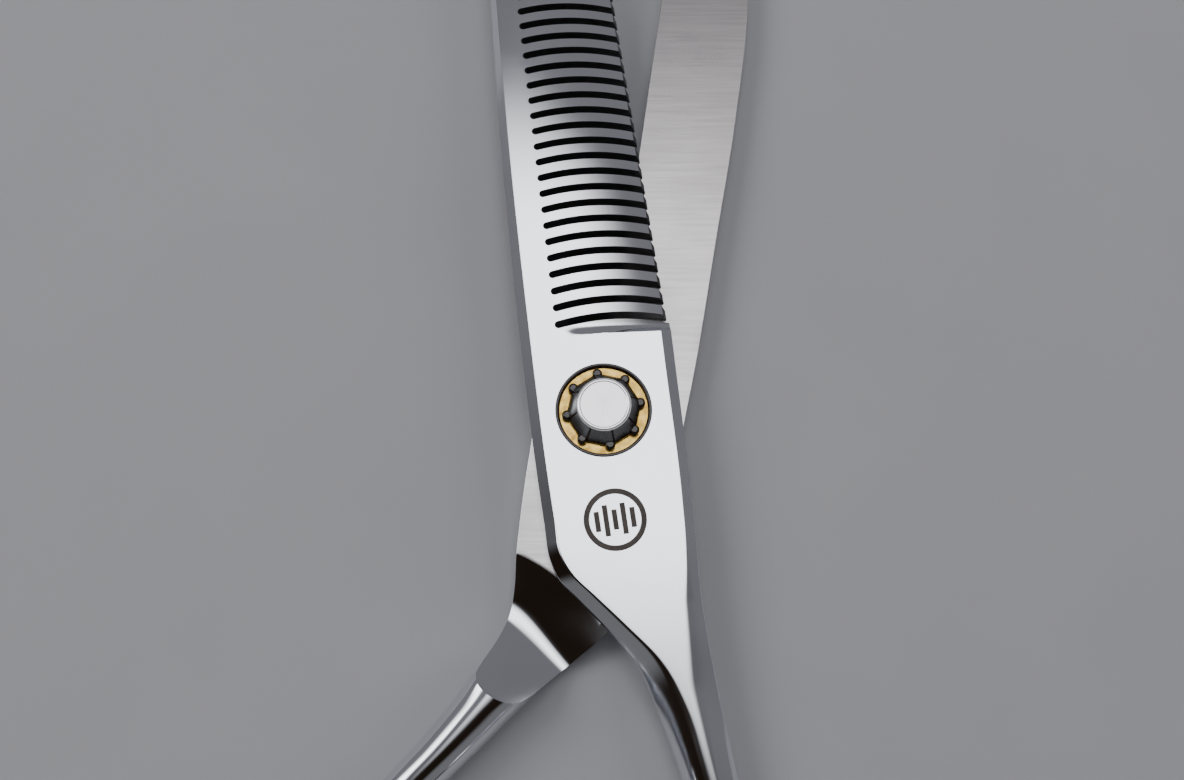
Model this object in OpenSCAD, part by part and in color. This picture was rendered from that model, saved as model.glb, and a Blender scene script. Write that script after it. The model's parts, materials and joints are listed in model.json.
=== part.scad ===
// Thinning shears: a toothed half and a plain half that cross on a keyed bolt,
// with a lobed tension dial, a finger ring with a screw-in rest and a thumb ring with a bumper.
// +Z runs up the pivot, dial side up, and +Y runs to the tips. Z = 0 is the plain half's outer face.

/* [Blades] */
// Angle between the two cutting edges at rest
edge_opening = 16.4; // [12:0.2:20]
// Turn of the plain half from rest to closed
closing_turn = 11.2; // [8:0.1:11.2]
// Thickness of each half at the pivot
half_t = 3; // [2.8:0.1:3.2]
// Gap between the two riding faces
ride_gap = 0.06; // [0.04:0.01:0.1]
// Distance from the pivot to the blade tips
blade_l = 66; // [62:0.5:68]
// Distance from the pivot to the line of the tooth tips
tooth_x = 8.13; // [7.8:0.05:8.4]
// Number of slots between the teeth
slot_count = 28; // [20:1:28]
// Distance from one slot to the next
slot_pitch = 1.82; // [1.6:0.02:1.84]
// Width of a slot
slot_w = 0.8; // [0.5:0.05:0.9]

/* [Handles] */
// Radius of the finger hole
finger_hole_r = 10.6; // [10:0.1:11]
// Radius of the thumb hole
thumb_hole_r = 11; // [10.4:0.1:11.4]
// Width of a ring's wall
ring_w = 3.4; // [3:0.1:3.8]
// Thickness of the rings and shanks
handle_t = 6; // [5.6:0.1:6]
// Length of the finger rest's curve
rest_l = 17; // [12:1:20]

/* [Pivot] */
// Radius of the bolt's shank
bolt_r = 2; // [1.8:0.05:2.1]
// Running clearance around the bolt
bolt_clear = 0.03; // [0.02:0.01:0.05]
// Outer radius of the dial's bezel
bezel_r = 4.85; // [4.6:0.05:5]
// Wall of the bezel
bezel_wall = 0.35; // [0.25:0.05:0.4]
// Number of lobes and facets on the dial
lobe_count = 8; // [6:1:10]
// Radius of the dial's cap
cap_r = 2.6; // [2.4:0.05:2.7]
// Height of the dial above the toothed half
dial_rise = 2.1; // [1.8:0.05:2.4]

/* [Hidden] */
$fn = 96;
eps = 0.01;
top_z = 2 * half_t;
plain_ride_z = half_t - ride_gap / 2;
tooth_ride_z = half_t + ride_gap / 2;
half_turn = edge_opening / 2;

// Blade grinds: a flat along the spine, then a cylinder that falls to the edge
tooth_flat_x = -3.5;
tooth_drop = 1.5;
plain_flat_x = 8.7;
plain_drop = 2.6;
plain_edge_x = -0.3;
plain_grind_y = 12;
grind_y = 8.2;
// The plain half's grind is cut this far past its edge
grind_spare = 8;
chamfer_w = 1.05;
tooth_spine = [[-7.42, -9.8], [-7.41, 4.8], [-6.76, 27.3], [-5.75, 49.3]];
tooth_side = [[8.1, grind_y], [7.9, -2], [6.84, -17], [6.8, -24]];
plain_spine = [[9.38, 50], [9.6, 36.6], [9.38, 28], [8.93, 13.6], [8.27, 0.8]];
plain_side = [[-6.6, -14.8], [-6.88, -7.5], [-6.9, -3]];

// Slots run from an end that leans with the spine out past the tooth tips, and bow towards the blade tip
slot_y0 = 9.9;
slot_x0 = -3.26;
slot_x1 = -2.1;
slot_bow_r = 28;
slot_bow_x = 1.2;
// Tooth tips lean back from the riding face by this much
tip_lean = 0.45;

// Scoops: a cylinder across each half where the flat rises into the shank
scoop_r = 11;
scoop_depth = 1.2;
plain_scoop = [-4.5, -20.4];
plain_scoop_turn = -21.4;
tooth_scoop = [2.4, -22.2];

// Rings, given in each half's own frame, whose cutting edge runs along +Y
finger_c = [8.5, -67.4];
thumb_c = [-19.3, -60.9];
finger_mid_r = finger_hole_r + ring_w / 2;
thumb_mid_r = thumb_hole_r + ring_w / 2;
mid_z = handle_t / 2;
land_h = handle_t - ring_w;

// Pivot stack, from the bolt's head up
head_r = 3.6;
head_t = 1;
flat_half = 1.65;
bush_r = 2.6;
bush_gap = 0.01;
washer_r = 4.25;
washer_t = 0.4;
bezel_floor_z = top_z - 1.4;
bezel_floor_t = 0.3;
bezel_lip = 0.12;
slide_z = bezel_floor_z + bezel_floor_t;
slide_t = 0.25;
click_z = slide_z + slide_t + 0.05;
click_t = 0.45;
click_r = bezel_r - bezel_wall - 0.06;
spring_z = click_z + click_t;
spring_t = 0.12;
spring_h = 0.45;
nut_z = spring_z + 0.05;
thread_r = 1.3;
insert_r = 2.1;
thread_top_z = nut_z + 1.15;
dial_top_z = top_z + dial_rise;
lobe_r = 0.6;
lobe_c = 3.72;
lobe_h = 0.65;
facet_r = 3.75;
lobe_turn = 10;
cap_t = 0.7;
screw_head_r = 1.7;
screw_r = 0.6;
screw_head_t = 0.35;

// Small fastenings in the rings
stud_r = 0.9;
stud_reach = 1.6;
rest_angle = -72;
bumper_r = 2.4;
bumper_bevel = 0.8;
bumper_gap = 0.3;
closed_angle = edge_opening - closing_turn;
finger_seen = rotate2(finger_c, closed_angle);
bumper_vec = finger_seen - thumb_c;
bumper_angle = atan2(bumper_vec[1], bumper_vec[0]);
bumper_base = thumb_mid_r + ring_w / 2 + 0.05;
bumper_l = norm(bumper_vec) - finger_mid_r - ring_w / 2 - bumper_gap - bumper_base;

function rotate2(p, a) = [p[0] * cos(a) - p[1] * sin(a), p[0] * sin(a) + p[1] * cos(a)];
function polar(r, a) = [r * cos(a), r * sin(a)];
function bez(p, t) = pow(1 - t, 3) * p[0] + 3 * pow(1 - t, 2) * t * p[1]
    + 3 * (1 - t) * t * t * p[2] + pow(t, 3) * p[3];
function bez_dir(p, t) = let (d = pow(1 - t, 2) * (p[1] - p[0]) + 2 * (1 - t) * t * (p[2] - p[1])
    + t * t * (p[3] - p[2])) d / norm(d);
function curve(p, n) = [for (i = [0:n]) bez(p, i / n)];
function drop_radius(w, d) = (w * w + d * d) / (2 * d);

// Outlines in each half's own frame, anticlockwise from the tip
function toothed_outline() = concat(
    [[tooth_x, blade_l - 2.6]],
    curve([[tooth_x, blade_l - 2.6], [tooth_x, blade_l - 0.4], [6, blade_l], [4.6, blade_l]], 6),
    curve([[4, blade_l], [0.5, blade_l], [-3.6, blade_l - 6], [-5.1, blade_l - 12]], 8),
    [for (i = [3:-1:0]) tooth_spine[i]],
    [[-7.3, -14.2]],
    curve([[-7.2, -14.8], [-6.4, -17], [-1.6, -22], [-0.6, -24.6]], 8),
    [[-0.2, -26], [6.9, -26]],
    [for (i = [3:-1:0]) tooth_side[i]]
);

function plain_outline() = concat(
    [[plain_edge_x, blade_l - 3.5], [plain_edge_x, 10.5]],
    curve([[-0.7, 9.6], [-3, 6.5], [-6.9, 3], [-6.9, -3]], 6),
    [plain_side[1], plain_side[0]],
    curve([[-6.4, -17.9], [-6.1, -21], [-6.9, -23.4], [-8.2, -25.9]], 5),
    [[-1.1, -26.5]],
    curve([[0.3, -24.8], [6, -19], [8, -10], [8.27, 0.8]], 8),
    [for (i = [3:-1:0]) plain_spine[i]],
    curve([[9.2, 53], [8.4, 59], [3.4, blade_l], [1.2, blade_l]], 8),
    [[0, blade_l - 0.5]]
);

// Shank centre lines, from inside the plate to inside the ring's wall
tooth_line = [[2.2, -21.5], [5.2, -30.5], [5.4, -42], finger_c + polar(finger_mid_r, 98)];
plain_line = [[-2.2, -21.5], [-7.6, -30], [-15.5, -40], thumb_c + polar(thumb_mid_r, 84)];
tooth_widths = [[0, 9], [0.15, 7.4], [0.3, 6.1], [0.5, 5.1], [0.85, 4.7], [1, 6.2]];
plain_widths = [[0, 9], [0.2, 6.6], [0.4, 5], [0.6, 4.5], [0.85, 4.8], [1, 6.4]];

module in_toothed() rotate([0, 0, half_turn]) children();
module in_plain() rotate([0, 0, -half_turn]) children();

// Closed tube through sections, each a ring of points in order
module loft(rings) {
    n = len(rings[0]);
    m = len(rings);
    sides = [for (i = [0:m - 2]) for (j = [0:n - 1])
        [i * n + j, i * n + (j + 1) % n, (i + 1) * n + (j + 1) % n, (i + 1) * n + j]];
    first = [[for (j = [n - 1:-1:0]) j]];
    last = [[for (j = [0:n - 1]) (m - 1) * n + j]];
    polyhedron(points = [for (r = rings) for (p = r) p], faces = concat(first, sides, last));
}

// One section of a shank: a squarish oval across the line's direction
function oval(c, dir, w, z0, z1, n = 20) = [for (i = [0:n - 1])
    let (a = -360 * i / n,
         u = sign(cos(a)) * pow(abs(cos(a)), 0.75) * w / 2,
         v = sign(sin(a)) * pow(abs(sin(a)), 0.75) * (z1 - z0) / 2)
    [c[0] - dir[1] * u, c[1] + dir[0] * u, (z0 + z1) / 2 + v]];

module shank(line, widths, steps = 14)
    loft([for (i = [0:steps]) let (t = i / steps)
        oval(bez(line, t), bez_dir(line, t), lookup(t, widths), 0, handle_t)]);

// Ring with a true cylindrical land inside and outside
module ring(centre, mid_r)
    translate([centre[0], centre[1], mid_z]) rotate_extrude() translate([mid_r, 0]) {
        square([ring_w, land_h], center = true);
        for (s = [-1, 1]) translate([0, s * land_h / 2]) circle(ring_w / 2, $fn = 48);
    }

// Hole drilled through a ring's wall along a radius
module ring_hole(centre, mid_r, angle)
    translate([centre[0], centre[1], mid_z]) rotate([0, 0, angle])
        translate([mid_r + ring_w / 2 - stud_reach, 0, 0]) rotate([0, 90, 0])
            cylinder(r = stud_r, h = stud_reach + 1, $fn = 32);

// Chamfers along an upper edge through some points, with the solid on the right of the way
module edge_chamfers(points)
    for (i = [0:len(points) - 2]) {
        way = points[i + 1] - points[i];
        translate([points[i][0], points[i][1], top_z]) rotate([0, 0, atan2(way[1], way[0])])
            rotate([90, 0, 90]) translate([0, 0, -eps]) linear_extrude(norm(way) + 2 * eps)
                polygon([[1, -chamfer_w - 1], [1, 1], [-chamfer_w - 1, 1]]);
    }

module scoop(at, turn, side_z, up)
    translate([at[0], at[1], side_z + up * (scoop_r - scoop_depth)]) rotate([0, 0, turn])
        rotate([0, 90, 0]) cylinder(r = scoop_r, h = 60, center = true, $fn = 128);

module tooth_slots()
    for (i = [0:slot_count - 1]) {
        x = slot_x0 + (slot_x1 - slot_x0) * i / (slot_count - 1) - slot_bow_x;
        arc_y = sqrt(pow(slot_bow_r, 2) - x * x);
        arc_l = tooth_x - slot_bow_x - x + 1;
        translate([slot_bow_x, slot_y0 + i * slot_pitch - slot_bow_r, half_t - 1]) {
            translate([x, arc_y, 0]) cylinder(d = slot_w, h = half_t + 2, $fn = 24);
            linear_extrude(half_t + 2) intersection() {
                difference() {
                    circle(r = slot_bow_r + slot_w / 2);
                    circle(r = slot_bow_r - slot_w / 2);
                }
                translate([x, slot_bow_r - slot_pitch]) square([arc_l, 2 * slot_pitch]);
            }
        }
    }

module tooth_grind() {
    r = drop_radius(tooth_x - tooth_flat_x, tooth_drop);
    difference() {
        translate([tooth_flat_x, grind_y, half_t])
            cube([tooth_x - tooth_flat_x + 1, blade_l, half_t + 1]);
        translate([tooth_flat_x, 0, top_z - r])
            rotate([-90, 0, 0]) cylinder(r = r, h = 2 * blade_l, $fn = 256);
    }
}

// Plane that leans the ends of the teeth back
module tooth_tips() {
    top_x = tooth_x - tip_lean * (top_z - tooth_ride_z) / (top_z - tooth_drop - tooth_ride_z);
    out_x = tooth_x + 1;
    translate([0, grind_y + slot_pitch / 2, 0])
        rotate([90, 0, 180]) linear_extrude(blade_l) mirror([1, 0])
            polygon([[tooth_x, tooth_ride_z], [out_x, tooth_ride_z], [out_x, top_z], [top_x, top_z]]);
}

module plain_grind() {
    r = drop_radius(plain_flat_x - plain_edge_x, plain_drop);
    difference() {
        translate([plain_edge_x - grind_spare, plain_grind_y, -1])
            cube([plain_flat_x - plain_edge_x + grind_spare, blade_l, half_t + 1]);
        translate([plain_flat_x, 0, r])
            rotate([-90, 0, 0]) cylinder(r = r, h = 2 * blade_l, $fn = 256);
    }
}

module toothed_half() color([0.86, 0.87, 0.9]) in_toothed() difference() {
    union() {
        translate([0, 0, tooth_ride_z]) linear_extrude(top_z - tooth_ride_z) polygon(toothed_outline());
        shank(tooth_line, tooth_widths);
        ring(finger_c, finger_mid_r);
    }
    tooth_grind();
    tooth_slots();
    tooth_tips();
    edge_chamfers(tooth_spine);
    edge_chamfers(tooth_side);
    scoop(tooth_scoop, 12, tooth_ride_z, -1);
    translate([0, 0, -eps]) cylinder(r = bush_r, h = top_z);
    translate([0, 0, bezel_floor_z]) cylinder(r = bezel_r, h = half_t);
    translate([finger_c[0], finger_c[1], -eps]) cylinder(r = finger_hole_r, h = handle_t + 1);
    ring_hole(finger_c, finger_mid_r, rest_angle);
}

module plain_half() color([0.72, 0.71, 0.7]) in_plain() difference() {
    union() {
        linear_extrude(plain_ride_z) polygon(plain_outline());
        shank(plain_line, plain_widths);
        ring(thumb_c, thumb_mid_r);
    }
    plain_grind();
    translate([0, 0, top_z]) mirror([0, 0, 1]) {
        edge_chamfers(plain_spine);
        edge_chamfers(plain_side);
    }
    scoop(plain_scoop, plain_scoop_turn, plain_ride_z, 1);
    translate([0, 0, -eps]) cylinder(r = head_r, h = head_t + eps);
    double_d(half_t);
    translate([0, 0, plain_ride_z - washer_t]) cylinder(r = washer_r + 0.1, h = 1);
    translate([thumb_c[0], thumb_c[1], -eps]) cylinder(r = thumb_hole_r, h = handle_t + 1);
    ring_hole(thumb_c, thumb_mid_r, bumper_angle);
}

// Round bar with two flats that keys the bolt to the plain half and to the click ring
module double_d(h) intersection() {
    cylinder(r = bolt_r, h = h);
    translate([-flat_half, -bolt_r, 0]) cube([2 * flat_half, 2 * bolt_r, h]);
}

module pivot_bolt() color([0.8, 0.8, 0.82]) in_plain() difference() {
    union() {
        cylinder(r = head_r, h = head_t);
        double_d(half_t);
        translate([0, 0, plain_ride_z - washer_t])
            cylinder(r = bolt_r, h = slide_z - plain_ride_z + washer_t);
        double_d(spring_z);
        cylinder(r = thread_r, h = thread_top_z);
    }
    translate([0, 0, half_t]) cylinder(r = screw_r, h = top_z);
}

module pivot_bush() color([0.72, 0.55, 0.32]) translate([0, 0, tooth_ride_z]) difference() {
    cylinder(r = bush_r - bush_gap, h = slide_z - tooth_ride_z);
    translate([0, 0, -eps]) cylinder(r = bolt_r + bolt_clear, h = half_t);
}

module blade_washer() color([0.93, 0.93, 0.9]) translate([0, 0, plain_ride_z - washer_t]) difference() {
    cylinder(r = washer_r, h = washer_t);
    translate([0, 0, -eps]) cylinder(r = bolt_r + bolt_clear, h = half_t);
}

module dial_bezel() color([0.06, 0.05, 0.05]) difference() {
    translate([0, 0, bezel_floor_z]) cylinder(r = bezel_r, h = top_z - bezel_floor_z + bezel_lip);
    translate([0, 0, slide_z]) cylinder(r = bezel_r - bezel_wall, h = half_t);
    translate([0, 0, half_t]) cylinder(r = bush_r, h = half_t);
}

module slide_washer() color([0.93, 0.93, 0.9]) translate([0, 0, slide_z]) difference() {
    cylinder(r = click_r, h = slide_t);
    translate([0, 0, -eps]) cylinder(r = bolt_r + bolt_clear, h = half_t);
}

module click_ring() color([0.84, 0.69, 0.38]) in_plain() difference() {
    translate([0, 0, click_z]) cylinder(r = click_r, h = click_t);
    double_d(top_z);
    for (i = [0:lobe_count - 1]) rotate([0, 0, i * 360 / lobe_count + half_turn + lobe_turn])
        translate([lobe_c, 0, spring_z + lobe_r - 0.1]) sphere(r = lobe_r, $fn = 32);
}

// Three waves round a thin ring that pushes the dial up
module wave_spring() color([0.6, 0.6, 0.62]) {
    n = 48;
    wave = (spring_h - spring_t) / 2;
    loft_ring([for (i = [0:n - 1]) let (a = 360 * i / n, z = spring_z + wave + wave * sin(3 * a))
        [for (c = [[2.3, 0], [3.1, 0], [3.1, spring_t], [2.3, spring_t]])
            [c[0] * cos(a), c[0] * sin(a), z + c[1]]]]);
}

module loft_ring(rings) {
    n = len(rings[0]);
    m = len(rings);
    polyhedron(points = [for (r = rings) for (p = r) p], faces = [for (i = [0:m - 1]) for (j = [0:n - 1])
        for (t = [0, 1]) let (a = i * n + j, b = i * n + (j + 1) % n,
            c = ((i + 1) % m) * n + (j + 1) % n, d = ((i + 1) % m) * n + j)
        t == 0 ? [a, b, c] : [a, c, d]]);
}

module dial_nut() color([0.13, 0.12, 0.12]) rotate([0, 0, lobe_turn]) difference() {
    union() {
        translate([0, 0, nut_z]) cylinder(r = facet_r - 0.15, h = lobe_h);
        for (i = [0:lobe_count - 1]) rotate([0, 0, i * 360 / lobe_count])
            translate([lobe_c, 0, nut_z]) cylinder(r = lobe_r, h = lobe_h, $fn = 32);
        intersection() {
            translate([0, 0, nut_z + lobe_h - 0.3])
                cylinder(r1 = facet_r, r2 = cap_r + 0.12, h = dial_top_z - nut_z - lobe_h + 0.3);
            cylinder(r = facet_r, h = 2 * top_z, $fn = lobe_count);
        }
    }
    translate([0, 0, dial_top_z - cap_t]) cylinder(r = cap_r, h = 1);
    cylinder(r = insert_r, h = 2 * top_z);
    translate([0, 0, nut_z - eps]) cylinder(r = 3.3, h = spring_h + 0.05);
}

module dial_insert() color([0.78, 0.62, 0.33]) difference() {
    translate([0, 0, nut_z]) cylinder(r = insert_r, h = thread_top_z - nut_z);
    cylinder(r = thread_r + bolt_clear, h = 2 * top_z);
}

module retaining_screw() color([0.7, 0.7, 0.72]) {
    translate([0, 0, half_t + 1.5]) cylinder(r = screw_r, h = thread_top_z - half_t - 1.4);
    translate([0, 0, thread_top_z + 0.05]) cylinder(r = screw_head_r, h = screw_head_t);
}

module dial_cap() color([0.9, 0.88, 0.9]) translate([0, 0, dial_top_z - cap_t]) {
    cylinder(r = cap_r, h = cap_t - 0.1);
    translate([0, 0, cap_t - 0.1]) cylinder(r1 = cap_r, r2 = cap_r - 0.15, h = 0.15);
}

// Places a child at a ring's outer wall, pointing out along +X
module at_ring(centre, r, angle)
    translate([centre[0], centre[1], mid_z]) rotate([0, 0, angle]) translate([r, 0, 0]) children();

module finger_rest() color([0.82, 0.83, 0.86]) in_toothed() {
    line = [[1, 0], [0.4 * rest_l, 0.6], [0.7 * rest_l, 2.2], [0.98 * rest_l, 6.5]];
    at_ring(finger_c, finger_mid_r + ring_w / 2 + 0.05, rest_angle) difference() {
        union() {
            rotate([0, 90, 0]) cylinder(r = 2.2, h = 1.6, $fn = 48);
            loft([for (i = [0:10]) let (t = i / 10, w = 4.2 - 2.3 * t)
                oval(bez(line, t), bez_dir(line, t), w, -w / 2, w / 2, 16)]);
        }
        rotate([0, 90, 0]) translate([0, 0, -eps]) cylinder(r = stud_r, h = stud_reach, $fn = 32);
    }
}

module stud(centre, r, angle)
    at_ring(centre, r - stud_reach, angle)
        rotate([0, 90, 0]) cylinder(r = stud_r, h = 2 * stud_reach, $fn = 32);

module finger_rest_stud() color([0.65, 0.65, 0.67]) in_toothed()
    stud(finger_c, finger_mid_r + ring_w / 2, rest_angle);

module bumper_stud() color([0.78, 0.62, 0.33]) in_plain()
    stud(thumb_c, thumb_mid_r + ring_w / 2, bumper_angle);

module bumper() color([0.08, 0.08, 0.08]) in_plain() at_ring(thumb_c, bumper_base, bumper_angle)
    rotate([0, 90, 0]) difference() {
        union() {
            cylinder(r = bumper_r, h = bumper_l - bumper_bevel, $fn = 48);
            translate([0, 0, bumper_l - bumper_bevel])
                cylinder(r1 = bumper_r, r2 = bumper_r - bumper_bevel, h = bumper_bevel, $fn = 48);
        }
        translate([0, 0, -eps]) cylinder(r = stud_r, h = stud_reach, $fn = 32);
    }

toothed_half();
plain_half();
pivot_bolt();
pivot_bush();
blade_washer();
dial_bezel();
slide_washer();
click_ring();
wave_spring();
dial_nut();
dial_insert();
retaining_screw();
dial_cap();
finger_rest();
finger_rest_stud();
bumper();
bumper_stud();
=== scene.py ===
"""Thinning shears: smooth forged halves, pivot dial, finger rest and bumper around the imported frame."""

import json
import math

import bmesh
import bpy
import numpy as np
from mathutils import Matrix, Vector


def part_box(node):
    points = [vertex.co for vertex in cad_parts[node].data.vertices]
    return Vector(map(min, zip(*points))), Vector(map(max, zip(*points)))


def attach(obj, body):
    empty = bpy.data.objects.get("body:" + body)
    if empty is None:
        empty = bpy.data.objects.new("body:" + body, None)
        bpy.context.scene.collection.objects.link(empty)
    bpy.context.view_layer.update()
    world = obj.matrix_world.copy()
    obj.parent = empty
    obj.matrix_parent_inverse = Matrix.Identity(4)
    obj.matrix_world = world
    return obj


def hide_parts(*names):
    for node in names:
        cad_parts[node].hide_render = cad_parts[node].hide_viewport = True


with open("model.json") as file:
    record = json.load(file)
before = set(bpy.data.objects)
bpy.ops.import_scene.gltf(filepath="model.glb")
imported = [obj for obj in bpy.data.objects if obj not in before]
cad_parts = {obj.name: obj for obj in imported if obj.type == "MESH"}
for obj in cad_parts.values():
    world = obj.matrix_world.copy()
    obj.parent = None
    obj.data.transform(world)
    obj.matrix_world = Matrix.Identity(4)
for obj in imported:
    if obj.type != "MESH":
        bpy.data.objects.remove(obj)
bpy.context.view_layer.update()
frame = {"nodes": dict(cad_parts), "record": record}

MM = 0.001

# Places that the frame gives, in millimetres
mounts = {m["name"]: m for m in frame["record"]["mounts"]}
TOP_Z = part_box("toothed_half")[1].z / MM
TOOTH_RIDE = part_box("pivot_bush")[0].z / MM
PLAIN_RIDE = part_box("blade_washer")[1].z / MM
BEZEL_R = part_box("dial_bezel")[1].x / MM
BEZEL_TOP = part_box("dial_bezel")[1].z / MM
BEZEL_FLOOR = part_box("dial_bezel")[0].z / MM
DIAL_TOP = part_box("dial_cap")[1].z / MM
NUT_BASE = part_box("dial_nut")[0].z / MM
CAP_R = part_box("dial_cap")[1].x / MM

# The halves: at rest each is turned this far from the Y axis, and in its own frame its edge runs along +Y
HALF_TURN = math.radians(8.2)
HANDLE_T = 6.0
RING_W = 3.4
BLADE_L = 66.0
NOSE_L = 12.0
NOSE_Y = BLADE_L - NOSE_L
TOOTH_X = 8.13
PLAIN_X = -0.3

# The convex grinds: where each starts along and across its blade, and its fall at the edge
GRIND_Y = 8.2
GRIND_X = -3.5
TOOTH_DROP = 1.5
PLAIN_GRIND_Y = 12.0
PLAIN_GRIND_X = 8.7
PLAIN_DROP = 2.6

# The slots between the teeth, the first one's inner end, and how far the teeth's ends lean back
SLOTS = 28
SLOT_PITCH = 1.82
SLOT_W = 0.8
SLOT_X = -3.26
SLOT_Y = 9.9
TIP_LEAN = 0.45

# The plain half's scoop bends back by this slope at its sides, with a round middle of this half width
SCOOP_BOW = 0.5
SCOOP_EASE = 3.0

# Seats and bores of the pivot pieces, and the gap under the pieces that sit on the rings
BUSH_R = 2.6
BOLT_R = 2.0
HEAD_R = 3.6
HEAD_T = 1.0
WASHER_R = 4.35
WASHER_T = 0.4
CAP_T = 0.7
SEAT_GAP = 0.05


# ---------------------------------------------------------------- geometry helpers

def to_own(point, turn):
    """A row-frame point in a half's own frame, whose cutting edge runs along +Y."""
    x, y = point[0] / MM, point[1] / MM
    return np.array([x * math.cos(turn) + y * math.sin(turn), -x * math.sin(turn) + y * math.cos(turn)])


def hermite(keys, values, at):
    """Smooth curve through keyed rows, with finite-difference tangents."""
    keys, values, at = np.asarray(keys, float), np.asarray(values, float), np.asarray(at, float)
    step = np.diff(keys)
    slope = np.diff(values, axis=0) / step[:, None]
    tangent = np.vstack([slope[:1], (slope[:-1] * step[1:, None] + slope[1:] * step[:-1, None])
                         / (step[1:] + step[:-1])[:, None], slope[-1:]])
    i = np.clip(np.searchsorted(keys, at, side="right") - 1, 0, len(keys) - 2)
    t = ((at - keys[i]) / step[i])[:, None]
    h = step[i][:, None]
    return ((2 * t**3 - 3 * t**2 + 1) * values[i] + (t**3 - 2 * t**2 + t) * h * tangent[i]
            + (3 * t**2 - 2 * t**3) * values[i + 1] + (t**3 - t**2) * h * tangent[i + 1])


def rounded(corners, radii, arc=8):
    """Closed outline whose corners are arcs: the same number of points at every corner."""
    corners = [np.asarray(c, float) for c in corners]
    out = []
    for k, corner in enumerate(corners):
        a, b = corners[k - 1] - corner, corners[(k + 1) % len(corners)] - corner
        la, lb = np.linalg.norm(a), np.linalg.norm(b)
        a, b = a / la, b / lb
        half = math.acos(np.clip(a @ b, -1, 1)) / 2
        reach = min(radii[k] / max(math.tan(half), 1e-6), 0.48 * la, 0.48 * lb)
        start, end = corner + a * reach, corner + b * reach
        radius = reach * math.tan(half)
        middle = corner + (a + b) / np.linalg.norm(a + b) * (radius / max(math.sin(half), 1e-6))
        u, v = start - middle, end - middle
        turn = math.acos(np.clip(u @ v / max(radius * radius, 1e-12), -1, 1))
        for j in range(arc + 1):
            f = j / arc
            if turn < 1e-4:
                out.append(start + (end - start) * f)
            else:
                out.append(middle + (u * math.sin((1 - f) * turn) + v * math.sin(f * turn)) / math.sin(turn))
    return out


def spread(points, arc, counts):
    """Adds evenly spaced points on the straight stretches between the arcs."""
    out, n = [], arc + 1
    for k, count in enumerate(counts):
        out.extend(points[k * n:(k + 1) * n])
        a, b = points[(k + 1) * n - 1], points[((k + 1) * n) % len(points)]
        out.extend(a + (b - a) * (j + 1) / (count + 1) for j in range(count))
    return out


def mesh_object(name, points, faces, turn=0.0):
    """Object from points in millimetres, turned about the pivot into the row frame."""
    mesh = bpy.data.meshes.new(name)
    c, s = math.cos(turn), math.sin(turn)
    mesh.from_pydata([((x * c - y * s) * MM, (x * s + y * c) * MM, z * MM) for x, y, z in points], [], faces)
    mesh.validate()
    obj = bpy.data.objects.new(name, mesh)
    bpy.context.scene.collection.objects.link(obj)
    return obj


def tube_faces(rings, around, capped=True, closed=False):
    """Faces of a tube whose points come ring by ring; a closed one runs back into its first ring."""
    faces = []
    for i in range(rings if closed else rings - 1):
        for j in range(around):
            k = (j + 1) % around
            n = (i + 1) % rings
            faces.append((i * around + j, i * around + k, n * around + k, n * around + j))
    if capped and not closed:
        faces.append(tuple(range(around - 1, -1, -1)))
        faces.append(tuple((rings - 1) * around + j for j in range(around)))
    return faces


def fix_normals(obj):
    """Turns every face outwards."""
    bm = bmesh.new()
    bm.from_mesh(obj.data)
    bmesh.ops.recalc_face_normals(bm, faces=bm.faces)
    bm.to_mesh(obj.data)
    bm.free()
    return obj


def lathe(name, profile, steps=96, centre=(0, 0), turn=0.0):
    """Solid or ring of revolution about a vertical axis from a closed (r, z) profile."""
    n = len(profile)
    points = []
    for i in range(steps):
        a = 2 * math.pi * i / steps
        points += [(centre[0] + r * math.cos(a), centre[1] + r * math.sin(a), z) for r, z in profile]
    return fix_normals(mesh_object(name, points, tube_faces(steps, n, closed=True), turn))


def extruded(name, outline, z0, z1, turn=0.0):
    """Solid straight up from an outline."""
    n = len(outline)
    points = [(x, y, z0) for x, y in outline] + [(x, y, z1) for x, y in outline]
    return fix_normals(mesh_object(name, points, tube_faces(2, n), turn))


def joined(name, objects):
    """One object from several, keeping their meshes apart."""
    bm = bmesh.new()
    for o in objects:
        bm.from_mesh(o.data)
        bpy.data.objects.remove(o)
    mesh = bpy.data.meshes.new(name)
    bm.to_mesh(mesh)
    bm.free()
    obj = bpy.data.objects.new(name, mesh)
    bpy.context.scene.collection.objects.link(obj)
    return obj


def boolean(obj, other, operation):
    """Applies an exact boolean and removes the other object."""
    mod = obj.modifiers.new("cut", "BOOLEAN")
    mod.operation, mod.object, mod.solver = operation, other, "EXACT"
    bpy.context.view_layer.update()
    result = bpy.data.meshes.new_from_object(obj.evaluated_get(bpy.context.evaluated_depsgraph_get()))
    obj.modifiers.clear()
    obj.data = result
    bpy.data.objects.remove(other)
    return obj


def finish_surface(obj, angle=32.0):
    """Smooth faces with crisp edges, and normals that leave the flats flat."""
    bm = bmesh.new()
    bm.from_mesh(obj.data)
    bmesh.ops.remove_doubles(bm, verts=bm.verts, dist=2e-7)
    bmesh.ops.dissolve_degenerate(bm, edges=bm.edges, dist=1e-7)
    bm.to_mesh(obj.data)
    bm.free()
    obj.data.shade_smooth()
    obj.data.set_sharp_from_angle(angle=math.radians(angle))
    mod = obj.modifiers.new("normals", "WEIGHTED_NORMAL")
    mod.keep_sharp = True
    mod.weight = 60
    return obj


# ---------------------------------------------------------------- material helpers

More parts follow.
